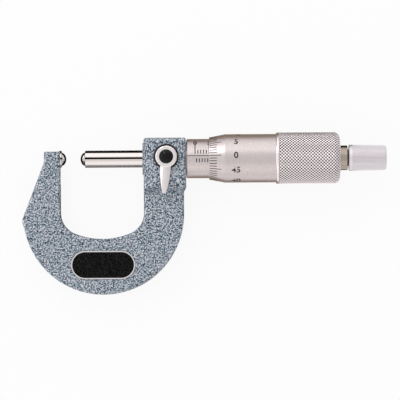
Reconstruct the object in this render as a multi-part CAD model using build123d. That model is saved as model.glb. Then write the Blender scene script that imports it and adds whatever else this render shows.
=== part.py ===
from build123d import *
import os
from math import asin, atan2, cos, degrees, radians, sin, sqrt

# Tube micrometer, 0 to 25 mm by 0.01 mm, lying on its back. Millimetres.
# X runs along the spindle from the anvil to the ratchet, Y points up the head, and
# Z points out of the face with the plate. The origin is the anvil's measuring point.

# How far cutters run past what they cut, and how close counts as the same place
overrun = 1.0
near = 0.01

# Measuring range, and the gap between the two balls as drawn
travel = 25.0
reading = 5.0
ball_radius = 3.2
tip_bevel_run = 0.5

# Anvil
anvil_dia = 6.1
anvil_proud = 2.14
anvil_stem_dia = 4.0
anvil_stem_length = 4.6
anvil_tip_length = 1.5
spot_dia = 6.8
spot_depth = 0.4

# Bow of the frame
bow_thick = 9.0
bow_edge = 1.2
bow_radius = 28.7
bow_depth = 19.85
throat_width = 29.76
throat_depth = 28.5
throat_floor_radius = 26.0
throat_corner = 7.85
arm_end_length = 5.8
arm_end_top = 2.75
arm_end_drop = 1.0
arm_bend = 6.0
arm_corner = 0.6
heel_proud = 0.52
heel_drop = 2.35
heel_length = 3.0
heel_round = 3.0
leg_width = 14.3

# Head of the frame
head_length = 15.1
head_top = 7.46
head_thick = 14.4
head_drop = 10.3
head_ramp = 2.3
head_edge = 1.6
head_corner = 0.9
face_pad_dia = 11.4
face_pad_proud = 0.4
head_front_wall = 1.64

# Range plate
plate_length = 22.8
plate_width = 10.0
plate_thick = 0.5
plate_sunk = 0.3
plate_below_floor = 9.25
plate_shift = 0.25
plate_play = 0.05

# Spindle and its screw
spindle_dia = 6.35
spindle_tip_length = 1.5
screw_dia = 7.2
taper_dia = 6.8
taper_end_dia = 6.2
taper_short = 1.0
guide_length = 17.0
shoulder_gap = 0.5
slide_play = 0.03
screw_play = 0.05
throat_hole_play = 0.3

# Inner sleeve and adjusting nut
stem_dia = 10.0
barrel_short = 1.0
thread_length = 16.0
relief_dia = 7.8
slit_end_dia = 10.0
slit_count = 3
slit_width = 0.6
slit_length = 10.0
nut_dia = 11.6
nut_length = 7.0
nut_notch = 1.4
nut_notch_depth = 0.5
end_gap = 1.5

# Graduated sleeve
sleeve_dia = 14.0
sleeve_wall = 1.0
sleeve_play = 0.03
sleeve_gap = 0.14
zero_from_edge = 3.1
sleeve_spare = 2.9
sleeve_edge = 0.3
wrench_hole_dia = 1.2
wrench_hole_from_edge = 1.6
index_angle = 8.0

# Thimble
thimble_length = 46.9
thimble_play = 0.05
thimble_lip_wall = 0.475
bevel_height = 1.11
bevel_length = 5.7
knurl_height = 0.515
knurl_from_edge = 23.8
knurl_ramp = 0.65
thimble_end_wall = 7.6
thimble_end_round = 2.3
thimble_end_cone = 0.35
collar_land = 0.4
taper_play = 0.03

# Engraved scales: depth and width of a line, then where lines start and stop,
# in degrees round the sleeve from the index line and in millimetres along the thimble
line_depth = 0.06
line_width = 0.2
index_half_width = 0.6
index_short = 1.0
scale_start = 6.0
scale_short = 18.0
scale_tall = 36.0
half_start = 7.5
half_end = 19.0
thimble_divisions = 50
division_start = 0.15
division_short = 2.6
division_tall = 4.1

# Lever clamp
clamp_from_leg = 8.05
clamp_above_axis = 0.75
clamp_stem_dia = 5.0
clamp_stem_play = 0.05
clamp_neck_dia = 4.0
washer_dia = 8.7
washer_thick = 0.6
washer_recess = 0.4
washer_recess_play = 0.25
hub_dia = 7.8
hub_height = 2.7
hub_edge = 0.55
hub_gap = 0.05
lever_length = 13.2
lever_root = 3.75
lever_waist = 3.15
lever_waist_at = 8.1
lever_tip_radius = 0.8
lever_thick = 2.0
lever_lift = 0.5
lever_crown = 2.9
lever_fall = 3.5
lever_angle = -3.4
clamp_cap_dia = 5.05
clamp_cap_seat = 0.5
clamp_cap_side = 0.6
clamp_cap_dome = 0.9
clamp_cap_thread = 2.2
clamp_cap_thread_length = 1.5
clamp_cap_thread_play = 0.1
clamp_cap_play = 0.1
shoe_dia = 3.6
shoe_play = 0.05
shoe_gap = 0.12

# Ratchet stop
collar_dia = 8.8
collar_length = 2.5
collar_edge = 0.2
tail_dia = 3.6
tail_length = 5.0
tail_play = 0.03
clutch_dia = 5.9
clutch_length = 2.4
tooth_count = 12
tooth_height = 0.4
tooth_play = 0.05
ring_length = 1.6
shank_dia = 3.4
shank_play = 0.03
cap_gap = 0.4
cap_length = 13.5
cap_dia = 9.35
cap_end_dia = 8.95
cap_corner = 0.7
cap_corner_fall = 0.5
cap_edge = 0.3
cap_bore = 7.2
cap_flats = 6.2
cap_bore_depth = 8.6
cap_web = 1.6
cap_recess_dia = 6.0
cap_end_play = 0.1
ring_play = 0.05
flute_count = 60
flute_depth = 0.21
flute_width = 0.3
flute_rise = 0.04
flute_front = 1.3
spring_wire = 0.5
spring_mean_dia = 5.0
spring_turns = 4
spring_sides = 6
spring_seat = 0.02
screw_head_dia = 5.2
screw_head_length = 1.5
screw_slot = 0.7
screw_thread_dia = 1.8
screw_thread_length = 5.0


# Places worked out from the sizes above
arm_face = -anvil_proud
anvil_seat = arm_face - spot_depth
arm_back = arm_face - arm_end_length
leg_face = arm_face + throat_width
leg_back = leg_face + leg_width
head_back = leg_face + head_length
pad_face = leg_face - face_pad_proud
floor_y = -throat_depth
bow_centre_x = leg_back - bow_radius
bow_centre_y = floor_y - bow_depth + bow_radius
bow_face = bow_thick / 2
head_face = head_thick / 2

stem_front = leg_face + head_front_wall
guide_end = stem_front + guide_length
sleeve_front = head_back + sleeve_gap
zero_x = sleeve_front + zero_from_edge
sleeve_end = zero_x + travel + sleeve_spare
sleeve_bore = sleeve_dia - 2 * sleeve_wall
thimble_lip_dia = sleeve_dia + 2 * (thimble_play + thimble_lip_wall)
thimble_dia = thimble_lip_dia + 2 * bevel_height
knurl_dia = thimble_dia + 2 * knurl_height
thimble_front = zero_x + reading
thimble_end = thimble_front + thimble_length
cavity_end = thimble_end - thimble_end_wall
inner_end = cavity_end - reading - end_gap
nut_front = inner_end - nut_length

screw_front = guide_end + shoulder_gap + reading
taper_end = thimble_end - taper_short

clamp_x = leg_face + clamp_from_leg
clamp_y = clamp_above_axis
washer_top = head_face - washer_recess + washer_thick
hub_bottom = washer_top + hub_gap
hub_top = hub_bottom + hub_height
clamp_cap_z = hub_top - clamp_cap_seat
shoe_top = stem_dia / 2
stem_bottom = shoe_top + shoe_play

collar_end = thimble_end + collar_length
clutch_face = collar_end + clutch_length
cap_front = collar_end + cap_gap
cap_end = cap_front + cap_length
web_front = cap_front + cap_bore_depth
web_back = web_front + cap_web
shank_end = web_back + cap_end_play
ring_back = clutch_face + tooth_play + ring_length


def turned(*points):
    """Solid turned about the spindle's axis from (place along the axis, radius) points."""
    return revolve(make_face(Polyline(*points, close=True)), Axis.X)


def tube(start, end, inner_dia, outer_dia):
    """Plain turned tube, or a rod where the inner diameter is 0."""
    inner, outer = inner_dia / 2, outer_dia / 2
    return turned((start, inner), (end, inner), (end, outer), (start, outer))


def post(x, y, bottom, top, dia):
    """Round post along Z."""
    return Pos(x, y, bottom) * extrude(Circle(dia / 2), top - bottom)


def groove(start, end, radius, low, high):
    """Cutter for a line along a circle round the sleeve, between two angles from the index line."""
    section = Pos((start + end) / 2, radius) * Rectangle(end - start, 2 * line_depth)
    first = 90 - (index_angle + high)
    return Rot(X=first) * revolve(section, Axis.X, high - low)


def cap_arc(radius, height):
    """Arc of a round cap, from its rim at that radius to its top on the axis."""
    ball = (radius**2 + height**2) / (2 * height)
    middle = asin(radius / ball) / 2
    return ThreePointArc(
        (radius, 0), (ball * sin(middle), height - ball + ball * cos(middle)), (0, height)
    )


def ball_tip(tip_x, length, side):
    """Hard-metal measuring tip: side is 1 where it points to +X and -1 where it points to -X."""
    rim = sqrt(ball_radius**2 - (ball_radius - length) ** 2)
    outline = make_face([cap_arc(rim, length), Polyline((0, length), (0, 0), (rim, 0))])
    tip = revolve(Plane.XZ * outline, Axis.Z)
    return Pos(tip_x - side * length, 0, 0) * Rot(Y=side * 90) * tip


def bow_outline():
    """Face of the bow with its arm and leg, before the throat is taken out."""
    heel = (bow_centre_x - bow_radius - heel_proud, bow_centre_y - heel_drop)
    join_y = bow_centre_y - heel_drop - heel_length
    join_x = bow_centre_x - sqrt(bow_radius**2 - (join_y - bow_centre_y) ** 2)
    bottom = (bow_centre_x, bow_centre_y - bow_radius)
    edges = [
        Polyline(
            (leg_back, bow_centre_y),
            (leg_back, 0),
            (arm_face, 0),
            (arm_face, arm_end_top),
            (arm_back, arm_end_top),
            (arm_back, -arm_end_drop),
            heel,
            (join_x, join_y),
        ),
        ThreePointArc((join_x, join_y), bottom, (leg_back, bow_centre_y)),
    ]
    face = make_face(edges)
    corner = face.vertices().sort_by_distance((*heel, 0))[0]
    face = fillet(corner, heel_round)
    bend = face.vertices().sort_by_distance((arm_back, -arm_end_drop, 0))[0]
    face = fillet(bend, arm_bend)
    tops = face.vertices().sort_by_distance((arm_back, arm_end_top, 0))[:1]
    return fillet(tops, arm_corner)


def throat_outline():
    """Face of the opening that the bow bends round, running out past the top."""
    middle = arm_face + throat_width / 2
    fall = throat_floor_radius - sqrt(throat_floor_radius**2 - (throat_width / 2) ** 2)
    side_y = floor_y + fall
    above = head_top + arm_end_top
    edges = [
        Polyline((arm_face, side_y), (arm_face, above), (leg_face, above), (leg_face, side_y)),
        ThreePointArc((leg_face, side_y), (middle, floor_y), (arm_face, side_y)),
    ]
    face = make_face(edges)
    corners = face.vertices().sort_by(Axis.Y)[:2]
    return fillet(corners, throat_corner)


def frame_head():
    """Thick head block, whose lower end runs down into the leg."""
    low = -head_drop
    section = Plane.YZ * make_face(
        Polyline(
            (head_top, -head_face),
            (head_top, head_face),
            (low, head_face),
            (low - head_ramp, bow_face - bow_edge),
            (low - head_ramp, bow_edge - bow_face),
            (low, -head_face),
            close=True,
        )
    )
    head = Pos(leg_face, 0, 0) * extrude(section, head_length)
    step = head_back - leg_back
    corner = make_face(
        Polyline(
            (head_back, low),
            (leg_back, low - 2 * step),
            (leg_back, low - head_ramp - step),
            (head_back + step, low - head_ramp - step),
            (head_back + step, low),
            close=True,
        )
    )
    head -= extrude(corner, head_thick, both=True)
    uprights = head.edges().filter_by(Axis.Z).group_by(Axis.Y)[-1]
    head = fillet(uprights, head_corner)
    rims = [
        edge
        for edge in head.edges()
        if abs(abs(edge.center().Z) - head_face) < near and edge.center().Y > low + near
    ]
    head = fillet(rims, head_edge)
    return head + tube(pad_face, leg_face + head_edge, 0, face_pad_dia)


def build_frame():
    """Cast frame: bow, arm, leg and head in one piece, with its machined bores."""
    bow = extrude(bow_outline() - throat_outline(), bow_face, both=True)
    rims = [edge for edge in bow.edges() if abs(abs(edge.center().Z) - bow_face) < near]
    bow = fillet(rims, bow_edge)
    frame = bow + frame_head()
    frame -= tube(stem_front, head_back + overrun, 0, stem_dia)
    frame -= tube(pad_face - overrun, stem_front, 0, spindle_dia + 2 * throat_hole_play)
    frame -= tube(anvil_seat, 0, 0, spot_dia)
    frame -= tube(anvil_seat - anvil_stem_length, anvil_seat, 0, anvil_stem_dia)
    frame -= post(clamp_x, clamp_y, 0, head_thick, clamp_stem_dia + 2 * clamp_stem_play)
    recess_dia = washer_dia + 2 * washer_recess_play
    frame -= post(clamp_x, clamp_y, head_face - washer_recess, head_thick, recess_dia)
    return frame - plate_solid(plate_play, bow_face - plate_sunk, bow_thick)


def plate_solid(play, bottom, top):
    """Rounded plate, or its pocket where there is play round it."""
    outline = SlotOverall(plate_length + 2 * play, plate_width + 2 * play)
    y = floor_y - plate_below_floor
    return Pos(bow_centre_x - plate_shift, y, bottom) * extrude(outline, top - bottom)


def build_anvil():
    """Anvil pin: a stem pressed into the arm and a head that carries the ball."""
    joint = -anvil_tip_length
    joint_radius = sqrt(ball_radius**2 - (ball_radius - anvil_tip_length) ** 2)
    side = anvil_dia / 2
    return turned(
        (anvil_seat - anvil_stem_length, 0),
        (joint, 0),
        (joint, joint_radius),
        (joint - tip_bevel_run * (side - joint_radius), side),
        (anvil_seat, side),
        (anvil_seat, anvil_stem_dia / 2),
        (anvil_seat - anvil_stem_length, anvil_stem_dia / 2),
    )


def build_spindle():
    """Ground spindle, its screw and the taper that seats in the thimble."""
    joint = reading + spindle_tip_length
    joint_radius = sqrt(ball_radius**2 - (ball_radius - spindle_tip_length) ** 2)
    side, screw = spindle_dia / 2, screw_dia / 2
    lead = screw - side
    spindle = turned(
        (joint, 0),
        (taper_end, 0),
        (taper_end, taper_end_dia / 2),
        (cavity_end, taper_dia / 2),
        (cavity_end - lead, screw),
        (screw_front + lead, screw),
        (screw_front, side),
        (joint + tip_bevel_run * (side - joint_radius), side),
        (joint, joint_radius),
    )
    hole = tail_dia + 2 * tail_play
    return spindle - tube(thimble_end - tail_length - tail_play, thimble_end, 0, hole)


def build_inner_sleeve():
    """Guide and nut of the screw: stem in the head, barrel under the sleeve, slit rear end."""
    barrel = sleeve_bore - 2 * sleeve_play
    barrel_end = sleeve_end - barrel_short
    sleeve = tube(stem_front, head_back, 0, stem_dia)
    sleeve += tube(head_back, barrel_end, 0, barrel)
    sleeve += tube(barrel_end, inner_end, 0, slit_end_dia)
    sleeve -= tube(stem_front - overrun, inner_end, 0, spindle_dia + 2 * slide_play)
    sleeve -= tube(guide_end, inner_end - thread_length, 0, relief_dia)
    sleeve -= tube(inner_end - thread_length, inner_end + overrun, 0, screw_dia + 2 * screw_play)
    window = shoe_dia + 2 * shoe_play
    sleeve -= post(clamp_x, clamp_y, 0, stem_dia, window)
    slit = Pos(inner_end - slit_length, 0, 0) * Box(
        2 * slit_length, slit_width, stem_dia, align=(Align.MIN, Align.CENTER, Align.MIN)
    )
    for turn in range(slit_count):
        sleeve -= Rot(X=360 * turn / slit_count) * slit
    return sleeve


def build_adjusting_nut():
    """Ring nut on the slit end, with two notches for a wrench in its rear face."""
    nut = tube(nut_front, inner_end, slit_end_dia, nut_dia)
    notch = Pos(inner_end, 0, 0) * Box(2 * nut_notch_depth, 2 * nut_dia, nut_notch)
    return nut - notch


def build_sleeve():
    """Graduated sleeve: millimetres above the index line, half millimetres below it."""
    outer, inner = sleeve_dia / 2, sleeve_bore / 2
    sleeve = turned(
        (sleeve_front, inner),
        (sleeve_end, inner),
        (sleeve_end, outer - sleeve_edge),
        (sleeve_end - sleeve_edge, outer),
        (sleeve_front + sleeve_edge, outer),
        (sleeve_front, outer - sleeve_edge),
    )
    half = line_width / 2
    index_start = sleeve_front + index_short
    cuts = [groove(index_start, sleeve_end - index_short, outer, -index_half_width, index_half_width)]
    for mark in range(round(travel) + 1):
        x = zero_x + mark
        top = scale_tall if mark % 5 == 0 else scale_short
        cuts.append(groove(x - half, x + half, outer, scale_start, top))
        if mark < round(travel):
            x += 0.5
            cuts.append(groove(x - half, x + half, outer, -half_end, -half_start))
    sleeve -= cuts
    hole_x = sleeve_front + wrench_hole_from_edge
    hole = post(hole_x, 0, 0, sleeve_dia, wrench_hole_dia)
    return sleeve - Rot(X=180 - index_angle) * hole


def build_thimble():
    """Thimble: bevelled and divided front edge, plain barrel, knurled grip, closed rear end."""
    bore = sleeve_dia / 2 + thimble_play
    lip, barrel, grip = thimble_lip_dia / 2, thimble_dia / 2, knurl_dia / 2
    grip_x = thimble_front + knurl_from_edge
    hole_end = taper_end_dia / 2 + taper_play
    corner_x = thimble_end - thimble_end_cone
    half = make_face(
        Polyline(
            (thimble_front, bore),
            (thimble_front, lip),
            (thimble_front + bevel_length, barrel),
            (grip_x, barrel),
            (grip_x + knurl_ramp, grip),
            (corner_x, grip),
            (thimble_end, collar_dia / 2 + collar_land),
            (thimble_end, hole_end),
            (taper_end, hole_end),
            (cavity_end, taper_dia / 2 + taper_play),
            (cavity_end, bore),
            close=True,
        )
    )
    rear = half.vertices().sort_by_distance((corner_x, grip, 0))[0]
    body = revolve(fillet(rear, thimble_end_round), Axis.X)
    rise = degrees(atan2(barrel - lip, bevel_length))
    cuts = []
    for mark in range(thimble_divisions):
        length = division_tall if mark % 5 == 0 else division_short
        line = Pos(thimble_front + division_start, 0, lip) * Rot(Y=-rise) * Box(
            length, line_width, 2 * line_depth, align=(Align.MIN, Align.CENTER, Align.CENTER)
        )
        cuts.append(Rot(X=-index_angle + 360 * mark / thimble_divisions) * line)
    return body - cuts


def build_lever():
    """Clamp lever: round hub and a crowned, tapering arm that falls towards its tip."""
    hub = post(0, 0, 0, hub_height, hub_dia)
    hub = fillet(hub.edges().filter_by(GeomType.CIRCLE).sort_by(Axis.Z)[-1], hub_edge)
    root, waist = lever_root / 2, lever_waist / 2
    root_y = -(hub_dia + clamp_neck_dia) / 4
    tip_y = -lever_length + lever_tip_radius
    plan = make_face(
        [
            Line((root, root_y), (-root, root_y)),
            ThreePointArc((-root, root_y), (-waist, -lever_waist_at), (-lever_tip_radius, tip_y)),
            ThreePointArc((-lever_tip_radius, tip_y), (0, -lever_length), (lever_tip_radius, tip_y)),
            ThreePointArc((lever_tip_radius, tip_y), (waist, -lever_waist_at), (root, root_y)),
        ]
    )
    arm = Pos(0, 0, lever_lift) * extrude(plan, lever_thick)
    crown = Pos(0, 0, lever_lift + lever_thick - lever_crown) * Rot(X=90 + lever_fall) * (
        extrude(Circle(lever_crown), 2 * lever_length, both=True)
    )
    lever = hub + (arm & crown)
    lever -= post(0, 0, -overrun, hub_height, clamp_neck_dia)
    seat_dia = clamp_cap_dia + 2 * clamp_cap_play
    lever -= post(0, 0, hub_height - clamp_cap_seat, 2 * hub_height, seat_dia)
    return Pos(clamp_x, clamp_y, hub_bottom) * Rot(Z=lever_angle) * lever


def build_clamp_screw():
    """Stem of the clamp: it screws into the head and carries the lever on its neck."""
    screw = post(clamp_x, clamp_y, stem_bottom, hub_bottom, clamp_stem_dia)
    screw += post(clamp_x, clamp_y, hub_bottom, clamp_cap_z, clamp_neck_dia)
    bottom = clamp_cap_z - clamp_cap_thread_length - clamp_cap_thread_play
    return screw - post(clamp_x, clamp_y, bottom, clamp_cap_z + overrun, clamp_cap_thread)


def build_clamp_cap():
    """Black domed screw in the middle of the hub."""
    radius = clamp_cap_dia / 2
    thread = clamp_cap_thread / 2
    depth = clamp_cap_thread_length
    side = clamp_cap_side
    outline = make_face(
        [
            Polyline((0, -depth), (thread, -depth), (thread, 0), (radius, 0), (radius, side)),
            Pos(0, side) * cap_arc(radius, clamp_cap_dome),
            Line((0, side + clamp_cap_dome), (0, -depth)),
        ]
    )
    return Pos(clamp_x, clamp_y, clamp_cap_z) * revolve(Plane.XZ * outline, Axis.Z)


def build_clamp_shoe():
    """Brass pin that the stem presses on the spindle, hollowed to the spindle's curve."""
    shoe = post(clamp_x, clamp_y, 0, shoe_top, shoe_dia)
    return shoe - tube(clamp_x - shoe_dia, clamp_x + shoe_dia, 0, spindle_dia + 2 * shoe_gap)


def tooth_space(inner, outer, drop):
    """Wedge between two ratchet teeth: one wall along the axis and one slope."""
    step = radians(360 / tooth_count)

    def section(radius):
        near = Vector(clutch_face + drop, radius, 0)
        far = Vector(clutch_face + drop, radius * cos(step), radius * sin(step))
        deep = Vector(clutch_face + drop - tooth_height, radius, 0)
        return make_face(Polyline(near, far, deep, close=True))

    return loft([section(inner), section(outer)], ruled=True)


def build_ratchet_stud():
    """Stud behind the thimble: tail, collar, ring of face teeth, and the shank of the cap."""
    stud = tube(thimble_end - tail_length, thimble_end, 0, tail_dia)
    stud += tube(thimble_end, collar_end, 0, collar_dia)
    stud = chamfer(stud.edges().filter_by(GeomType.CIRCLE).sort_by(Axis.X)[-1], collar_edge)
    clutch = tube(collar_end, clutch_face, 0, clutch_dia)
    for turn in range(tooth_count):
        space = tooth_space(shank_dia / 2, clutch_dia / 2 + overrun, 0)
        clutch -= Rot(X=360 * turn / tooth_count) * space
    stud += clutch
    stud += tube(clutch_face - tooth_height, shank_end, 0, shank_dia)
    return stud - tube(shank_end - screw_thread_length, shank_end + overrun, 0, screw_thread_dia)


def flatted(start, end, dia, flats):
    """Rod along the axis with two flats, which keys the ring in the cap."""
    slab = Pos((start + end) / 2, 0, 0) * Box(end - start, flats, 2 * dia)
    return tube(start, end, 0, dia) & slab


def build_ratchet_ring():
    """Ring that slides in the cap and drives the stud through its face teeth."""
    ring_dia = cap_bore - 2 * ring_play
    ring = flatted(ring_back - ring_length, ring_back, ring_dia, cap_flats - 2 * ring_play)
    inner = shank_dia / 2 + 2 * shank_play
    for turn in range(tooth_count):
        tooth = tooth_space(inner, clutch_dia / 2, tooth_play)
        ring += Rot(X=360 * turn / tooth_count) * tooth
    hole = shank_dia + 4 * shank_play
    return ring - tube(clutch_face - overrun, ring_back + overrun, 0, hole)


def build_ratchet_spring():
    """Compression spring between the ring and the web of the cap."""
    start = ring_back + spring_seat + spring_wire / 2
    end = web_front - spring_seat - spring_wire / 2
    line = Helix(
        pitch=(end - start) / spring_turns,
        height=end - start,
        radius=spring_mean_dia / 2,
        center=(start, 0, 0),
        direction=(1, 0, 0),
    )
    wire = Plane(origin=line @ 0, z_dir=line % 0) * RegularPolygon(spring_wire / 2, spring_sides)
    return sweep(wire, path=line, is_frenet=True)


def build_ratchet_cap():
    """Cap of the ratchet stop, fluted by a straight knurl on its slightly tapered side."""
    front, rear = cap_dia / 2, cap_end_dia / 2
    cap = turned(
        (cap_front, 0),
        (cap_front, front - cap_edge),
        (cap_front + cap_edge, front),
        (cap_end - cap_corner, rear),
        (cap_end, rear - cap_corner_fall),
        (cap_end, 0),
    )
    flute_x = cap_front + flute_front
    half = flute_width / 2 * (1 + flute_rise / flute_depth)
    flute = make_face(Polyline((-half, 0), (half, 0), (0, -flute_depth - flute_rise), close=True))
    lean = degrees(atan2(front - rear, cap_length - cap_corner))
    cutter = extrude(flute, cap_length)
    cutter = Pos(flute_x, 0, front + flute_rise) * Rot(Y=lean) * Rot(Y=90) * Rot(Z=90) * cutter
    cap -= [Rot(X=360 * turn / flute_count) * cutter for turn in range(flute_count)]
    cap -= flatted(cap_front - overrun, web_front, cap_bore, cap_flats)
    cap -= tube(cap_front - overrun, ring_back - ring_length - tooth_height, 0, cap_bore)
    cap -= tube(cap_front, cap_end, 0, shank_dia + 2 * shank_play)
    return cap - tube(web_back, cap_end + overrun, 0, cap_recess_dia)


def build_ratchet_screw():
    """Slotted screw that keeps the cap on the stud."""
    screw = tube(shank_end - screw_thread_length, shank_end, 0, screw_thread_dia)
    screw += tube(shank_end, shank_end + screw_head_length, 0, screw_head_dia)
    slot = Pos(shank_end + screw_head_length, 0, 0) * Box(
        screw_head_length, screw_slot, 2 * screw_head_dia
    )
    return screw - slot


parts = {
    "frame": build_frame(),
    "anvil": build_anvil(),
    "anvil_ball": ball_tip(0, anvil_tip_length, 1),
    "range_plate": plate_solid(0, bow_face - plate_sunk, bow_face - plate_sunk + plate_thick),
    "inner_sleeve": build_inner_sleeve(),
    "adjusting_nut": build_adjusting_nut(),
    "clamp_washer": post(clamp_x, clamp_y, head_face - washer_recess, washer_top, washer_dia)
    - post(clamp_x, clamp_y, 0, head_thick, clamp_stem_dia + 4 * clamp_stem_play),
    "sleeve": build_sleeve(),
    "clamp_lever": build_lever(),
    "clamp_screw": build_clamp_screw(),
    "clamp_cap": build_clamp_cap(),
    "clamp_shoe": build_clamp_shoe(),
    "spindle": build_spindle(),
    "spindle_ball": ball_tip(reading, spindle_tip_length, -1),
    "thimble": build_thimble(),
    "ratchet_stud": build_ratchet_stud(),
    "ratchet_screw": build_ratchet_screw(),
    "ratchet_cap": build_ratchet_cap(),
    "ratchet_ring": build_ratchet_ring(),
    "ratchet_spring": build_ratchet_spring(),
}

os.makedirs("parts", exist_ok=True)
for name, part in parts.items():
    export_step(part, os.path.join("parts", name + ".step"))
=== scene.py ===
from math import atan2, cos, degrees, hypot, pi, radians, sin, tan

import bmesh
import bpy
from mathutils import Matrix, Vector


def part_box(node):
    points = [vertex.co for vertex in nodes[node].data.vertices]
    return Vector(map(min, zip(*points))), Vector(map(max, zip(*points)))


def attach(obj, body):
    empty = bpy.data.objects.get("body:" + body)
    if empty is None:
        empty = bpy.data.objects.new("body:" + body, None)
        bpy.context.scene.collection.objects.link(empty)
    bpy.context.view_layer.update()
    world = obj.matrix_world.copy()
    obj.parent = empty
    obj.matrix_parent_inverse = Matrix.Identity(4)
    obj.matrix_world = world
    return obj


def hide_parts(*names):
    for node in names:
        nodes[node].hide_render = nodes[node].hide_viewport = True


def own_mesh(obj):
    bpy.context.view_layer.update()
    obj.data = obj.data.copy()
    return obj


# Tube micrometer lying on its back. Blender works in metres; what a maker would measure is in millimetres.
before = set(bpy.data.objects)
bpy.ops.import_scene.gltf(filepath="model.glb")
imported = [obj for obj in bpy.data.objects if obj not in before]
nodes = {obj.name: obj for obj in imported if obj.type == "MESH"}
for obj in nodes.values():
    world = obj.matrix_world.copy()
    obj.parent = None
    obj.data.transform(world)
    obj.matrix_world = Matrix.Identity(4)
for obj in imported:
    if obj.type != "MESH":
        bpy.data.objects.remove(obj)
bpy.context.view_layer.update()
mm = 0.001
print("frame loaded:", len(nodes), "nodes")


# Colours and node helpers
def fromScreen(red, green, blue):
    # a colour as a screen shows it, 0 to 255, turned into the linear values that shaders take
    linear = []
    for value in (red, green, blue):
        value /= 255
        linear.append(value / 12.92 if value <= 0.04045 else ((value + 0.055) / 1.055) ** 2.4)
    return (*linear, 1.0)


def grey(value):
    return (value, value, value, 1.0)


def feed(tree, socket, value):
    # link another node's output to a socket, or set a plain value on it
    if isinstance(value, bpy.types.NodeSocket):
        tree.links.new(value, socket)
    else:
        socket.default_value = value


def startMaterial(name, color, metallic, roughness):
    material = bpy.data.materials.new(name)
    material.use_nodes = True
    tree = material.node_tree
    shader = tree.nodes["Principled BSDF"]
    shader.inputs["Base Color"].default_value = color
    shader.inputs["Metallic"].default_value = metallic
    shader.inputs["Roughness"].default_value = roughness
    return material, tree, shader


def emptyMaterial(name):
    material = bpy.data.materials.new(name)
    material.use_nodes = True
    material.node_tree.nodes.clear()
    return material, material.node_tree


def objectPlace(tree, stretch=(1, 1, 1)):
    # place on the object in millimetres, stretched so that a grain can run one way
    coords = tree.nodes.new("ShaderNodeTexCoord")
    scaled = tree.nodes.new("ShaderNodeMapping")
    scaled.inputs["Scale"].default_value = [share / mm for share in stretch]
    tree.links.new(coords.outputs["Object"], scaled.inputs["Vector"])
    return scaled.outputs["Vector"]


def addNoise(tree, place, size, detail=2.0, rough=0.5, distortion=0.0):
    # soft noise whose features are about this many millimetres across
    noise = tree.nodes.new("ShaderNodeTexNoise")
    noise.inputs["Scale"].default_value = 1 / size
    noise.inputs["Detail"].default_value = detail
    noise.inputs["Roughness"].default_value = rough
    noise.inputs["Distortion"].default_value = distortion
    tree.links.new(place, noise.inputs["Vector"])
    return noise.outputs["Fac"]


def addRamp(tree, value, stops):
    ramp = tree.nodes.new("ShaderNodeValToRGB")
    steps = ramp.color_ramp.elements
    while len(steps) < len(stops):
        steps.new(0.5)
    for step, (place, color) in zip(steps, stops):
        step.position = place
        step.color = color
    tree.links.new(value, ramp.inputs["Fac"])
    return ramp.outputs["Color"]


def addBump(tree, shader, height, strength, depth):
    bump = tree.nodes.new("ShaderNodeBump")
    bump.inputs["Strength"].default_value = strength
    bump.inputs["Distance"].default_value = depth * mm
    tree.links.new(height, bump.inputs["Height"])
    tree.links.new(bump.outputs["Normal"], shader.inputs["Normal"])


def addMath(tree, operation, first, second):
    node = tree.nodes.new("ShaderNodeMath")
    node.operation = operation
    feed(tree, node.inputs[0], first)
    feed(tree, node.inputs[1], second)
    return node.outputs[0]


def blendColors(tree, factor, first, second):
    mix = tree.nodes.new("ShaderNodeMix")
    mix.data_type = "RGBA"
    factorSocket, firstSocket, secondSocket = mix.inputs[0], mix.inputs[6], mix.inputs[7]
    feed(tree, factorSocket, factor)
    feed(tree, firstSocket, first)
    feed(tree, secondSocket, second)
    return mix.outputs[2]


def blendShaders(tree, factor, first, second):
    mix = tree.nodes.new("ShaderNodeMixShader")
    for socket, value in zip(mix.inputs, (factor, first, second)):
        tree.links.new(value, socket)
    return mix.outputs[0]


# Hammertone enamel of the frame
enamel = {
    # place on the noise's range, and the colour there: sunk dark flecks up to pale hills
    "steps": (
        (0.31, fromScreen(0, 4, 30)),
        (0.42, fromScreen(10, 60, 86)),
        (0.50, fromScreen(126, 147, 158)),
        (0.57, fromScreen(156, 164, 172)),
        (0.70, fromScreen(202, 204, 212)),
    ),
    "fleckSize": 0.5,
    "fleckCurl": 0.6,
    "warm": fromScreen(180, 178, 188),  # of the soft patches
    "warmShare": 0.22,
    "patchSize": 2.2,
    "patchStart": 0.42,  # where on the noise's range a patch starts, and where it is full
    "patchFull": 0.62,
    "roughness": 0.38,
    "dimple": 0.06,
    "dimpleStrength": 0.5,
    "lacquer": 0.2,
    "lacquerRoughness": 0.2,
}


def makeEnamel():
    # dark flecks sunk between pale, slightly mottled hills, under a thin lacquer
    middleColor = enamel["steps"][2][1]
    material, tree, shader = startMaterial("hammertoneEnamel", middleColor, 0.0, enamel["roughness"])
    place = objectPlace(tree)
    hills = addNoise(tree, place, enamel["fleckSize"], detail=0.0, distortion=enamel["fleckCurl"])
    flecks = addRamp(tree, hills, enamel["steps"])
    clouds = addNoise(tree, place, enamel["patchSize"])
    patchStops = [(enamel["patchStart"], grey(0)), (enamel["patchFull"], grey(enamel["warmShare"]))]
    patches = addRamp(tree, clouds, patchStops)
    tree.links.new(blendColors(tree, patches, flecks, enamel["warm"]), shader.inputs["Base Color"])
    addBump(tree, shader, hills, enamel["dimpleStrength"], enamel["dimple"])
    shader.inputs["Coat Weight"].default_value = enamel["lacquer"]
    shader.inputs["Coat Roughness"].default_value = enamel["lacquerRoughness"]
    return material


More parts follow.
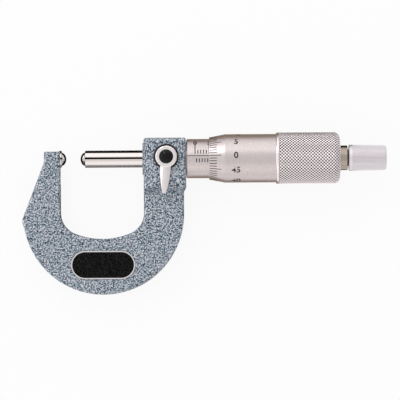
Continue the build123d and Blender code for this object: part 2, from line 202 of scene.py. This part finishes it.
# Metals
steel = {
    "satin": fromScreen(226, 216, 217),
    "satinDark": fromScreen(191, 179, 178),
    "ground": fromScreen(240, 236, 231),
    "chrome": fromScreen(235, 226, 230),
    "carbide": fromScreen(240, 237, 230),
    "turned": fromScreen(196, 190, 180),
    "cap": fromScreen(230, 230, 236),
    "rim": fromScreen(244, 243, 246),
    "brass": fromScreen(214, 178, 104),
}
evenGrain = (1, 1, 1)
brushedGrain = (2.5, 1, 1)
latheGrain = (6, 1, 1)  # fine along the axis, long round it
drawnGrain = (1, 6, 6)  # long along the axis
metals = {
    # colour, colour it strays to, roughness and how far that strays, the grain's stretch, size and depth
    "satinChrome": (steel["satin"], steel["satinDark"], 0.36, 0.05, brushedGrain, 0.9, 0.004),
    "groundSteel": (steel["ground"], steel["satin"], 0.05, 0.015, latheGrain, 0.2, 0.001),
    "hardMetal": (steel["carbide"], steel["ground"], 0.06, 0.02, evenGrain, 0.4, 0.001),
    "turnedSteel": (steel["turned"], steel["satinDark"], 0.24, 0.06, latheGrain, 0.25, 0.006),
    "brightChrome": (steel["chrome"], steel["ground"], 0.09, 0.03, evenGrain, 1.5, 0.004),
    "paleSatin": (steel["cap"], steel["satin"], 0.50, 0.05, drawnGrain, 0.5, 0.004),
    "turnedBrass": (steel["brass"], steel["brass"], 0.25, 0.05, evenGrain, 0.3, 0.003),
    # pale metal of the rim round the plate, a painted highlight along its edge
    "plateRim": (steel["rim"], steel["satin"], 0.18, 0.04, evenGrain, 0.5, 0.002),
}
toolMarks = {
    "detail": 3.0,
    "rough": 0.6,
    "strength": 0.4,
    "smoothAt": 0.3,  # where on the noise's range the metal is smoothest, and where it is roughest
    "roughAt": 0.7,
}


def addToolMarks(tree, stretch, size):
    return addNoise(tree, objectPlace(tree, stretch), size, toolMarks["detail"], toolMarks["rough"])


def makeMetal(name):
    # the tool marks move the metal's roughness and height, and its colour a little
    color, strayColor, roughness, stray, stretch, size, depth = metals[name]
    material, tree, shader = startMaterial(name, color, 1.0, roughness)
    marks = addToolMarks(tree, stretch, size)
    tree.links.new(blendColors(tree, marks, color, strayColor), shader.inputs["Base Color"])
    smooth, rough = grey(roughness - stray), grey(roughness + stray)
    stops = [(toolMarks["smoothAt"], smooth), (toolMarks["roughAt"], rough)]
    tree.links.new(addRamp(tree, marks, stops), shader.inputs["Roughness"])
    addBump(tree, shader, marks, toolMarks["strength"], depth)
    return material


# Chrome of the diamond knurl, with painted shade darkening its pits
knurlPitShade = {
    # depth of a point as a share of the pits' depth, and the colour there, darkening into painted shade
    # deeper down
    "steps": (
        (0.24, fromScreen(246, 237, 239)),
        (0.40, fromScreen(150, 140, 140)),
        (0.56, fromScreen(44, 40, 39)),
        (1.00, fromScreen(12, 10, 10)),
    ),
    "bright": (0.3, 0.26),  # depth and roughness of the chrome on the tops, above the painted shade
    # depth from which the pits are in full painted shade, and their roughness there
    "paintedShade": (0.9, 0.5),
    "grainSize": 0.3,
    "grainDepth": 0.004,
}


def makeKnurlChrome():
    # the mesh says how deep each point lies, and the deeper a point lies, the darker its painted shade
    topDepth, topRoughness = knurlPitShade["bright"]
    shadeDepth, shadeRoughness = knurlPitShade["paintedShade"]
    material, tree, shader = startMaterial("knurlChrome", knurlPitShade["steps"][0][1], 1.0, topRoughness)
    sunk = tree.nodes.new("ShaderNodeAttribute")
    sunk.attribute_name = "sunk"
    depth = sunk.outputs["Fac"]
    tree.links.new(addRamp(tree, depth, knurlPitShade["steps"]), shader.inputs["Base Color"])
    stops = [(topDepth, grey(topRoughness)), (shadeDepth, grey(shadeRoughness))]
    tree.links.new(addRamp(tree, depth, stops), shader.inputs["Roughness"])
    marks = addToolMarks(tree, evenGrain, knurlPitShade["grainSize"])
    addBump(tree, shader, marks, toolMarks["strength"], knurlPitShade["grainDepth"])
    return material


# Steel of the collar behind the thimble, and of the shank in the gap before the cap, which is painted
# near-black as the shade in that gap
collar = {
    "bright": fromScreen(184, 172, 160),
    "dark": fromScreen(158, 147, 136),
    "gapShade": fromScreen(14, 12, 10),
    "roughness": 0.26,
    "gap": 0.4,  # from the collar to the cap
    "gapShadeEdge": 0.03,
    "grainSize": 0.25,
    "grainDepth": 0.006,
}
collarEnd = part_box("ratchet_cap")[0].x / mm - collar["gap"]


def makeCollarSteel():
    material, tree, shader = startMaterial("collarSteel", collar["bright"], 1.0, collar["roughness"])
    split = tree.nodes.new("ShaderNodeSeparateXYZ")
    tree.links.new(objectPlace(tree), split.inputs["Vector"])
    behind = addMath(tree, "SUBTRACT", split.outputs["X"], collarEnd)
    marks = addToolMarks(tree, latheGrain, collar["grainSize"])
    turned = blendColors(tree, marks, collar["bright"], collar["dark"])
    # behind the collar's end the shank is painted near-black: painted shade in the gap before the cap
    paintedShade = addRamp(tree, behind, [(0.0, grey(0)), (collar["gapShadeEdge"], grey(1))])
    tree.links.new(blendColors(tree, paintedShade, turned, collar["gapShade"]), shader.inputs["Base Color"])
    addBump(tree, shader, marks, toolMarks["strength"], collar["grainDepth"])
    return material


# Blacks: the plate, the clamp's glossy screw and washer, and the ink in the scales
paints = {
    # colour, roughness, size and depth of the grain, shine, and how much paler its specks are
    "plateBlack": (fromScreen(3, 3, 3), 0.4, 0.35, 0.02, 0.04, 0.022),
    "glossBlack": (fromScreen(7, 6, 6), 0.08, 1.5, 0.002, 0.2, 0.004),
    "inkFill": (fromScreen(18, 18, 16), 0.55, 0.3, 0.002, 0.5, 0.004),
}
paintGrain = {"strength": 0.3, "speckStart": 0.45, "speckFull": 0.72}


def makePaint(name):
    color, roughness, size, depth, shine, paler = paints[name]
    material, tree, shader = startMaterial(name, color, 0.0, roughness)
    shader.inputs["Specular IOR Level"].default_value = shine
    grain = addNoise(tree, objectPlace(tree), size)
    paleColor = (*(min(1, share + paler) for share in color[:3]), 1.0)
    stops = [(paintGrain["speckStart"], color), (paintGrain["speckFull"], paleColor)]
    tree.links.new(addRamp(tree, grain, stops), shader.inputs["Base Color"])
    addBump(tree, shader, grain, paintGrain["strength"], depth)
    return material


# Finish of each CAD node
made = {name: makeMetal(name) for name in metals}  # every material, by its name
made.update({name: makePaint(name) for name in paints})
made["hammertoneEnamel"] = makeEnamel()
made["knurlChrome"] = makeKnurlChrome()
made["collarSteel"] = makeCollarSteel()
finishes = {
    "frame": "hammertoneEnamel",
    "anvil": "groundSteel",
    "anvil_ball": "hardMetal",
    "range_plate": "plateBlack",
    "inner_sleeve": "turnedSteel",
    "adjusting_nut": "turnedSteel",
    # the washer is glossy black, and its dark ring round the hub also stands in for the shade in the gap
    # there
    "clamp_washer": "glossBlack",
    "sleeve": "satinChrome",
    "clamp_lever": "brightChrome",
    "clamp_screw": "turnedSteel",
    "clamp_cap": "glossBlack",
    "clamp_shoe": "turnedBrass",
    "spindle": "groundSteel",
    "spindle_ball": "hardMetal",
    "thimble": "satinChrome",
    "ratchet_stud": "collarSteel",
    "ratchet_screw": "turnedSteel",
    "ratchet_cap": "paleSatin",
    "ratchet_ring": "turnedSteel",
    "ratchet_spring": "turnedSteel",
}
for node, finish in finishes.items():
    nodes[node].data.materials.clear()
    nodes[node].data.materials.append(made[finish])
print("finishes:", len(finishes))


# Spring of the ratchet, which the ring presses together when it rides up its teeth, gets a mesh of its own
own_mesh(nodes["ratchet_spring"])


# Making pieces
def addPiece(name, build, finish, body):
    # build fills a bmesh; the piece then gets its finish and rides on a body
    work = bmesh.new()
    build(work)
    mesh = bpy.data.meshes.new(name)
    work.to_mesh(mesh)
    work.free()
    mesh.materials.append(made[finish])
    piece = bpy.data.objects.new(name, mesh)
    bpy.context.scene.collection.objects.link(piece)
    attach(piece, body)
    return piece


def onCylinder(x, radius, turn):
    # place round the spindle's axis, turned from straight up (+Z) towards +Y
    return Vector((x, radius * sin(turn), radius * cos(turn)))


def addPoint(work, x, radius, turn):
    return work.verts.new(onCylinder(x, radius, turn) * mm)


# Scale of the sleeve: lengths along it in millimetres, places round it in degrees from the index line
indexAngle = 8.0  # of the index line from straight up, and of the thimble's zero
inkProud = 0.006
figureSteps = 3  # in each curve of a figure's outline
sleeveScale = {
    "range": 25,
    "zeroFromEdge": 3.1,
    "tallEach": 5,
    "lineWidth": 0.26,
    "lineShort": 0.6,  # what the index line leaves free at its ends
    "tickWidth": 0.34,
    "tickStart": 6.0,
    "tickShort": 18.0,
    "tickTall": 36.0,
    "halfStep": 0.5,
    "halfWidth": 0.34,
    "halfStart": 7.5,
    "halfEnd": 19.0,
    "arcStep": 3.0,  # of each straight piece of an arc
    "numberStart": 37.0,
    "numberTall": 1.95,
    "numberWide": 0.95,  # width as a share of the letter shape's own
    "numberBold": 0.05,
}
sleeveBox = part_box("sleeve")
sleeveRadius = sleeveBox[1].z / mm
sleeveFront, sleeveEnd = sleeveBox[0].x / mm, sleeveBox[1].x / mm
sleeveInk = sleeveRadius + inkProud
zeroX = sleeveFront + sleeveScale["zeroFromEdge"]


def addArcLine(work, x, low, high, width):
    # ink along a circle round the sleeve, between two angles from the index line
    steps = max(1, round((high - low) / sleeveScale["arcStep"]))
    rows = []
    for step in range(steps + 1):
        turn = radians(indexAngle + low + (high - low) * step / steps)
        rows.append([addPoint(work, x + side * width / 2, sleeveInk, turn) for side in (-1, 1)])
    for near, far in zip(rows, rows[1:]):
        work.faces.new((near[0], near[1], far[1], far[0]))


def buildSleeveLines(work):
    half = degrees(sleeveScale["lineWidth"] / sleeveInk) / 2
    length = sleeveEnd - sleeveFront - sleeveScale["lineShort"]
    addArcLine(work, (sleeveFront + sleeveEnd) / 2, -half, half, length)
    for mark in range(sleeveScale["range"] + 1):
        x = zeroX + mark
        top = sleeveScale["tickTall" if mark % sleeveScale["tallEach"] == 0 else "tickShort"]
        addArcLine(work, x, sleeveScale["tickStart"], top, sleeveScale["tickWidth"])
        if mark < sleeveScale["range"]:
            x += sleeveScale["halfStep"]
            addArcLine(work, x, -sleeveScale["halfEnd"], -sleeveScale["halfStart"], sleeveScale["halfWidth"])


def numberMesh(text, tall, bold):
    # flat outline of a number, centred in x, standing on y = 0, in millimetres
    curve = bpy.data.curves.new("number" + text, "FONT")
    curve.body = text
    curve.align_x = "CENTER"
    curve.resolution_u = figureSteps
    curve.offset = bold
    carrier = bpy.data.objects.new("number" + text, curve)
    mesh = bpy.data.meshes.new_from_object(carrier)
    bpy.data.objects.remove(carrier)
    bpy.data.curves.remove(curve)
    top = max(vertex.co.y for vertex in mesh.vertices)
    for vertex in mesh.vertices:
        vertex.co *= tall / top
    return mesh


def wrapNumber(work, mark, look, x, turn, radius):
    # number laid round the axis: its foot at that turn, its head further towards +Y
    flat = numberMesh(str(mark), look["numberTall"], look["numberBold"])
    outline = bmesh.new()
    outline.from_mesh(flat)
    places = {}
    for vertex in outline.verts:
        across, up = look["numberWide"] * vertex.co.x, vertex.co.y
        places[vertex] = addPoint(work, x + across, radius, turn + up / radius)
    for face in outline.faces:
        work.faces.new([places[vertex] for vertex in face.verts])
    outline.free()
    bpy.data.meshes.remove(flat)


def buildSleeveNumbers(work):
    turn = radians(indexAngle + sleeveScale["numberStart"])
    for mark in range(0, sleeveScale["range"] + 1, sleeveScale["tallEach"]):
        wrapNumber(work, mark, sleeveScale, zeroX + mark, turn, sleeveInk)


addPiece("sleeveLines", buildSleeveLines, "inkFill", "sleeve_body")
addPiece("sleeveNumbers", buildSleeveNumbers, "inkFill", "sleeve_body")
print("sleeve scale drawn")


# Thimble: its plain front and its bore come from the CAD node, and its grip is knurled here
thimble = {
    "bevel": 5.7,
    "lipRadius": 7.525,
    "barrelRadius": 8.635,
    "shoulderFromEdge": 23.8,
    "shoulder": 0.5,  # length of the rounded rise from the barrel to the grip
    "shoulderSteps": 6,
    "knurlFromEdge": 24.45,
    "cornerRadius": 2.3,
    "rearCone": 0.35,
    "landRadius": 4.8,  # of the seat for the collar, in the middle of the rear face
    "divisions": 50,
    "tallEach": 5,
    "lineStart": 0.15,
    "lineWidth": 0.28,
    "lineShort": 2.75,
    "lineTall": 4.25,
    "numberFromEdge": 9.6,
    "numberTall": 2.3,
    "numberWide": 1.0,
    "numberBold": 0.024,
}
# bounds that tell the skin of the CAD grip, which the knurl stands for, from the faces that stay
gripCut = {"offShoulder": 0.01, "offBore": 0.5, "offLand": 0.2, "rearDepth": 0.6, "facing": -0.01}
sharpEdge = radians(20)
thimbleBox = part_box("thimble")
thimbleFront, thimbleEnd = thimbleBox[0].x / mm, thimbleBox[1].x / mm
gripRadius = thimbleBox[1].z / mm
knurlStart = thimbleFront + thimble["knurlFromEdge"]
shoulderStart = thimbleFront + thimble["shoulderFromEdge"]


def isGripSkin(face):
    # outside of the grip, from the shoulder back to the land for the collar
    centre = face.calc_center_median() / mm
    away = hypot(centre.y, centre.z)
    behind = centre.x > shoulderStart + gripCut["offShoulder"]
    outwards = face.normal.dot(Vector((0, centre.y, centre.z))) > gripCut["facing"]
    onSide = away > sleeveRadius + gripCut["offBore"]
    offLand = away > thimble["landRadius"] + gripCut["offLand"]
    onRear = offLand and centre.x > thimbleEnd - gripCut["rearDepth"]
    return behind and outwards and (onSide or onRear)


def buildBarrel(work):
    # the CAD thimble without the outside of its grip
    work.from_mesh(nodes["thimble"].data)
    skin = [face for face in work.faces if isGripSkin(face)]
    bmesh.ops.delete(work, geom=skin, context="FACES")
    for face in work.faces:
        face.smooth = True
    for edge in work.edges:
        edge.smooth = edge.is_manifold and edge.calc_face_angle() < sharpEdge


def bevelRadius(x):
    rise = (thimble["barrelRadius"] - thimble["lipRadius"]) / thimble["bevel"]
    return thimble["lipRadius"] + rise * (x - thimbleFront)


def divisionTurn(mark):
    return radians(indexAngle) + 2 * pi * mark / thimble["divisions"]


def buildThimbleLines(work):
    half = thimble["lineWidth"] / 2
    start = thimbleFront + thimble["lineStart"]
    for mark in range(thimble["divisions"]):
        end = thimbleFront + thimble["lineTall" if mark % thimble["tallEach"] == 0 else "lineShort"]
        corners = []
        for x, side in ((start, -1), (end, -1), (end, 1), (start, 1)):
            radius = bevelRadius(x) + inkProud
            corners.append(addPoint(work, x, radius, divisionTurn(mark) + side * half / radius))
        work.faces.new(corners)


def buildThimbleNumbers(work):
    radius = thimble["barrelRadius"] + inkProud
    x = thimbleFront + thimble["numberFromEdge"]
    for mark in range(0, thimble["divisions"], thimble["tallEach"]):
        foot = divisionTurn(mark) - thimble["numberTall"] / 2 / radius
        wrapNumber(work, mark, thimble, x, foot, radius)


# Diamond knurl: flat-topped pyramids in rows offset by half a pitch, so that the grooves cross at 45 degrees
knurl = {
    "around": 50,
    "pitch": 1.16,
    "depth": 0.26,  # of the pits
    "saddle": 0.11,  # depth halfway between two pits
    "top": 0.40,  # reach of a pyramid's top, as a share of the way to the pits
    "start": 0.35,
    "weld": 0.0005,  # points nearer than this become one
}
halfPitches = 2 * knurl["around"]
cornerTurn = atan2(gripRadius - thimble["landRadius"], thimble["rearCone"])  # up to the nearly flat rear face
straightEnd = thimbleEnd - thimble["rearCone"] - thimble["cornerRadius"] * tan(cornerTurn / 2)
gripStraight = straightEnd - knurlStart
gripLength = gripStraight + thimble["cornerRadius"] * cornerTurn
knurlRows = 2 * round((gripLength - knurl["start"]) / knurl["pitch"])
knurlStep = (gripLength - knurl["start"]) / knurlRows


def gripPlace(along):
    # X, radius and backward lean of the grip's surface, by length along its profile from the front
    lean = min(max(along - gripStraight, 0) / thimble["cornerRadius"], cornerTurn)
    x = knurlStart + min(along, gripStraight) + thimble["cornerRadius"] * sin(lean)
    return x, gripRadius - thimble["cornerRadius"] * (1 - cos(lean)), lean


def addKnurlPoint(work, across, along, sunk):
    # across counts half pitches round the grip, along counts rows back from its front
    x, radius, lean = gripPlace(knurl["start"] + along * knurlStep)
    point = addPoint(work, x - sunk * sin(lean), radius - sunk * cos(lean), pi * across / knurl["around"])
    point[work.verts.layers.float["sunk"]] = sunk / knurl["depth"]
    return point


def addPyramid(work, pits, across, along):
    # a flat top, with three facets down to each two neighbouring pits and the saddle between them
    ways = ((1, 0), (0, 1), (-1, 0), (0, -1))
    near = [pits.get(((across + dx) % halfPitches, along + dy)) for dx, dy in ways]
    top = []
    for dx, dy in ways:
        row = min(max(along + knurl["top"] * dy, 0), knurlRows)
        top.append(addKnurlPoint(work, across + knurl["top"] * dx, row, 0))
    if 0 < along < knurlRows:
        work.faces.new(top)
    for side, (dx, dy) in enumerate(ways):
        after = (side + 1) % len(ways)
        if near[side] and near[after]:
            nextX, nextY = ways[after]
            saddle = addKnurlPoint(work, across + (dx + nextX) / 2, along + (dy + nextY) / 2, knurl["saddle"])
            work.faces.new((top[side], near[side], saddle))
            work.faces.new((top[side], saddle, top[after]))
            work.faces.new((top[after], saddle, near[after]))


def addGripEnds(work, pits):
    # rounded shoulder and plain band in front of the knurl, and the rear face behind it
    rise = gripRadius - thimble["barrelRadius"]
    front = []
    for step in range(thimble["shoulderSteps"] + 1):
        turn = pi / 2 * step / thimble["shoulderSteps"]
        x = shoulderStart + thimble["shoulder"] * (1 - cos(turn))
        front.append((x, thimble["barrelRadius"] + rise * sin(turn)))
    front.append(gripPlace(knurl["start"])[:2])
    rear = [gripPlace(gripLength)[:2], (thimbleEnd, thimble["landRadius"])]
    for profile, meeting, along in ((front, -1, 0), (rear, 0, knurlRows)):
        rings = []
        for x, radius in profile:
            rings.append([addPoint(work, x, radius, pi * k / knurl["around"]) for k in range(halfPitches)])
        for first, second in zip(rings, rings[1:]):
            for k in range(halfPitches):
                work.faces.new((first[k - 1], first[k], second[k], second[k - 1])).smooth = True
        ring = rings[meeting]
        for k in range(1 - along % 2, halfPitches, 2):
            work.faces.new((ring[k - 1], pits[k, along], ring[(k + 1) % halfPitches]))


def buildKnurl(work):
    work.verts.layers.float.new("sunk")  # depth of each point as a share of the pits', for its finish
    pits = {}
    for along in range(knurlRows + 1):
        for across in range(1 - along % 2, halfPitches, 2):
            pits[across, along] = addKnurlPoint(work, across, along, knurl["depth"])
    for along in range(knurlRows + 1):
        for across in range(along % 2, halfPitches, 2):
            addPyramid(work, pits, across, along)
    addGripEnds(work, pits)
    bmesh.ops.remove_doubles(work, verts=work.verts, dist=knurl["weld"] * mm)
    bmesh.ops.recalc_face_normals(work, faces=work.faces)


knurledGrip = addPiece("knurledGrip", buildKnurl, "knurlChrome", "thimble_body")
barrel = addPiece("thimbleBarrel", buildBarrel, "satinChrome", "thimble_body")
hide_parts("thimble")
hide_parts("thimble")
addPiece("thimbleLines", buildThimbleLines, "inkFill", "thimble_body")
addPiece("thimbleNumbers", buildThimbleNumbers, "inkFill", "thimble_body")
print("thimble done:", len(knurledGrip.data.polygons), "knurl faces")


# Thin bright metal rim round the plate, a painted highlight along the plate's edge
plate = {"rimWidth": 0.38, "rimProud": 0.12, "endSteps": 24}


def buildPlateRim(work):
    low, high = (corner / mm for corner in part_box("range_plate"))
    middle = (low + high) / 2
    radius = (high.y - low.y) / 2
    reach = (high.x - low.x) / 2 - radius
    width, proud = plate["rimWidth"], plate["rimProud"]
    section = ((0, 0), (0, proud), (-width, proud), (-width, 0))
    loops = []
    for side, start in ((1, -pi / 2), (-1, pi / 2)):
        centre = Vector((middle.x + side * reach, middle.y, high.z))
        for step in range(plate["endSteps"] + 1):
            turn = start + pi * step / plate["endSteps"]
            out = Vector((cos(turn), sin(turn), 0))
            places = [centre + out * (radius + wider) + Vector((0, 0, up)) for wider, up in section]
            loops.append([work.verts.new(place * mm) for place in places])
    for here, after in zip(loops, loops[1:] + loops[:1]):
        for k in range(len(section) - 1):
            work.faces.new((here[k], after[k], after[k + 1], here[k + 1]))


addPiece("plateRim", buildPlateRim, "plateRim", "frame_body")
print("plate rim done")


# Floor that the part really rests on: the plane through its three lowest contacts
stage = {
    "height": -6.86,  # of the floor under the origin, and its slopes, because the part lies a little tilted
    "slopeX": -0.0319,
    "slopeY": -0.0534,
    "size": 6.0,  # in metres
    "floorColor": grey(0.82),
    "shownWhite": 0.90,
}
upwards = (0, 0, 1)
upThePicture = (0, 1, 0)


def lookAlong(direction, up):
    # rotation whose -Z looks along direction
    back = -Vector(direction).normalized()
    right = Vector(up).cross(back).normalized()
    return Matrix((right, back.cross(right), back)).transposed().to_quaternion()


def addFlat(name, centre, facing, up, width, height, material):
    # flat rectangle, for the floor and for the cards
    work = bmesh.new()
    corners = ((-1, -1), (1, -1), (1, 1), (-1, 1))
    work.faces.new([work.verts.new((x * width / 2, y * height / 2, 0)) for x, y in corners])
    mesh = bpy.data.meshes.new(name)
    work.to_mesh(mesh)
    work.free()
    mesh.materials.append(material)
    flat = bpy.data.objects.new(name, mesh)
    flat.rotation_mode = "QUATERNION"
    flat.rotation_quaternion = lookAlong(-Vector(facing), up)
    flat.location = centre
    bpy.context.scene.collection.objects.link(flat)
    return flat


def makeFloor():
    # white for the camera and in reflections, with the part's soft shadow; from below it isn't seen
    material, tree = emptyMaterial("paleFloor")
    plain = tree.nodes.new("ShaderNodeBsdfDiffuse")
    plain.inputs["Color"].default_value = stage["floorColor"]
    glow = tree.nodes.new("ShaderNodeEmission")
    clear = tree.nodes.new("ShaderNodeBsdfTransparent")
    rays = tree.nodes.new("ShaderNodeLightPath").outputs
    side = tree.nodes.new("ShaderNodeNewGeometry")
    seen = addMath(tree, "MAXIMUM", rays["Is Camera Ray"], rays["Is Glossy Ray"])
    seen = addMath(tree, "MAXIMUM", seen, rays["Is Transmission Ray"])
    share = addMath(tree, "MULTIPLY", seen, stage["shownWhite"])
    surface = blendShaders(tree, share, plain.outputs[0], glow.outputs[0])
    below = addMath(tree, "MULTIPLY", side.outputs["Backfacing"], rays["Is Camera Ray"])
    out = tree.nodes.new("ShaderNodeOutputMaterial")
    tree.links.new(blendShaders(tree, below, surface, clear.outputs[0]), out.inputs["Surface"])
    return material


floorUp = Vector((-stage["slopeX"], -stage["slopeY"], 1)).normalized()
floorCentre = Vector((0, 0, stage["height"])) * mm
addFlat("floor", floorCentre, floorUp, upThePicture, stage["size"], stage["size"], makeFloor())
print("floor laid")


# Light: a long soft box beyond the top edge, a weaker warm one below, one at the left and a slim bright one
aim = Vector((47.62, -14.79, 0)) * mm  # middle of the picture
lights = {
    "worldLeft": grey(0.98),
    "worldRight": grey(0.67),
    "away": 0.9,  # in metres, as the widths and heights
    "mirrorWhite": 4,  # watts a square metre, for a box that shows as white in a mirror
    "boxes": (
        # name, degrees from straight up, turned towards, width, height, brightness, colour
        ("topBox", 60, 90, 1.8, 0.95, 0.32, (1.0, 0.985, 0.97)),
        ("lowBox", 52, -90, 1.8, 0.75, 0.20, (1.0, 0.93, 0.88)),
        ("spark", 50, 117, 0.16, 0.5, 2.8, (1.0, 1.0, 1.0)),
        ("leftBox", 62, 180, 0.84, 0.8, 0.38, (1.0, 0.98, 1.0)),
    ),
}


def makeWorld():
    # plain light that fades from left to right
    world = bpy.data.worlds.new("paleRoom")
    world.use_nodes = True
    tree = world.node_tree
    way = tree.nodes.new("ShaderNodeTexCoord")
    split = tree.nodes.new("ShaderNodeSeparateXYZ")
    tree.links.new(way.outputs["Generated"], split.inputs["Vector"])
    spread = tree.nodes.new("ShaderNodeMapRange")
    spread.inputs["From Min"].default_value = -1
    tree.links.new(split.outputs["X"], spread.inputs["Value"])
    shade = blendColors(tree, spread.outputs["Result"], lights["worldLeft"], lights["worldRight"])
    tree.links.new(shade, tree.nodes["Background"].inputs["Color"])
    return world


def directionTo(lean, heading):
    # lean from straight up, towards a heading that is counted from +X towards +Y
    flat = sin(radians(lean))
    return Vector((flat * cos(radians(heading)), flat * sin(radians(heading)), cos(radians(lean))))


bpy.context.scene.world = makeWorld()
for name, lean, heading, width, height, brightness, color in lights["boxes"]:
    lamp = bpy.data.lights.new(name, "AREA")
    lamp.shape = "RECTANGLE"
    lamp.size, lamp.size_y = width, height
    lamp.energy = brightness * lights["mirrorWhite"] * width * height
    lamp.color = color
    carrier = bpy.data.objects.new(name, lamp)
    direction = directionTo(lean, heading)
    carrier.location = aim + direction * lights["away"]
    carrier.rotation_mode = "QUATERNION"
    carrier.rotation_quaternion = lookAlong(-direction, upwards)
    bpy.context.scene.collection.objects.link(carrier)
print("lamps:", len(lights["boxes"]))


# Cards seen only in the metal: they draw its dark edges and the thin line along the spindle
cards = {
    "black": fromScreen(18, 14, 11),
    "umber": fromScreen(58, 50, 36),
    "brown": fromScreen(148, 132, 118),
    # the card over the spindle: its height, its ends along X, its edges in degrees from straight up
    "overHeight": 10.5,
    "overEnds": (-15, 27.3),
    "overEdges": (-2.1, 19.5),
    # name, from and to along X, from and to along Y, colour
    "onFloor": (
        ("spindleCard", -16, 31, 9, 70, "black"),
        ("spindleLowCard", -16, 31, -25, -9, "umber"),
        ("armCard", -9, -1, 3.6, 9, "black"),
        ("sleeveCard", 43, 76, -24, 60, "brown"),
        ("gripCard", 76, 95.5, 9, 34, "black"),
        ("collarCard", 95.5, 104, 6, 60, "black"),
        ("collarLowCard", 95.5, 104, -14, -4, "black"),
        ("headCard", 28, 43, 9.6, 29.6, "black"),
    ),
    "offFloor": 0.05,
    # name, middle, facing, width and height
    "walls": (
        ("spindleWall", (7.5, 70, -1), (0, -1, 0), 47, 19),
        ("gapWall", (2.5, 0, -2.5), (1, 0, 0), 12, 7.6),
    ),
}


def makeCard(name, color):
    material, tree = emptyMaterial(name)
    glow = tree.nodes.new("ShaderNodeEmission")
    glow.inputs["Color"].default_value = cards[color]
    out = tree.nodes.new("ShaderNodeOutputMaterial")
    tree.links.new(glow.outputs[0], out.inputs["Surface"])
    return material


def addCard(name, middle, facing, up, width, height, color):
    # sizes in millimetres; only glossy rays meet the card
    card = addFlat(name, Vector(middle) * mm, facing, up, width * mm, height * mm, makeCard(name, color))
    card.visible_camera = False
    card.visible_diffuse = False
    card.visible_transmission = False
    card.visible_volume_scatter = False
    card.visible_shadow = False


def aboveFloor(x, y):
    return stage["height"] + stage["slopeX"] * x + stage["slopeY"] * y + cards["offFloor"]


start, end = cards["overEnds"]
low, high = (cards["overHeight"] * tan(radians(edge)) for edge in cards["overEdges"])
middle = ((start + end) / 2, (low + high) / 2, cards["overHeight"])
addCard("lineCard", middle, (0, 0, -1), upThePicture, end - start, high - low, "black")
for name, start, end, low, high, color in cards["onFloor"]:
    x, y = (start + end) / 2, (low + high) / 2
    addCard(name, (x, y, aboveFloor(x, y)), floorUp, upThePicture, end - start, high - low, color)
for name, middle, facing, width, height in cards["walls"]:
    addCard(name, middle, facing, upwards, width, height, "black")
print("cards set")


# Camera, straight above the face, for a picture as wide as it is high
shot = {
    "distance": 1500,
    "widthSeen": 142.9,
    "roll": 0.33,  # in degrees
    "sensor": 36,
    "nearest": 0.01,  # what the camera draws starts and ends at these distances, in metres
    "furthest": 20,
}
camera = bpy.data.cameras.new("camera")
camera.sensor_width = shot["sensor"]
camera.lens = camera.sensor_width * shot["distance"] / shot["widthSeen"]
camera.clip_start, camera.clip_end = shot["nearest"], shot["furthest"]
holder = bpy.data.objects.new("camera", camera)
holder.rotation_mode = "QUATERNION"
tilted = (sin(radians(shot["roll"])), cos(radians(shot["roll"])), 0)
holder.rotation_quaternion = lookAlong((0, 0, -1), tilted)
holder.location = aim + Vector((0, 0, shot["distance"])) * mm
bpy.context.scene.collection.objects.link(holder)
bpy.context.scene.camera = holder
bpy.context.scene.view_settings.view_transform = "Standard"
print("camera set")


# Bring every object's placement up to date
bpy.context.view_layer.update()
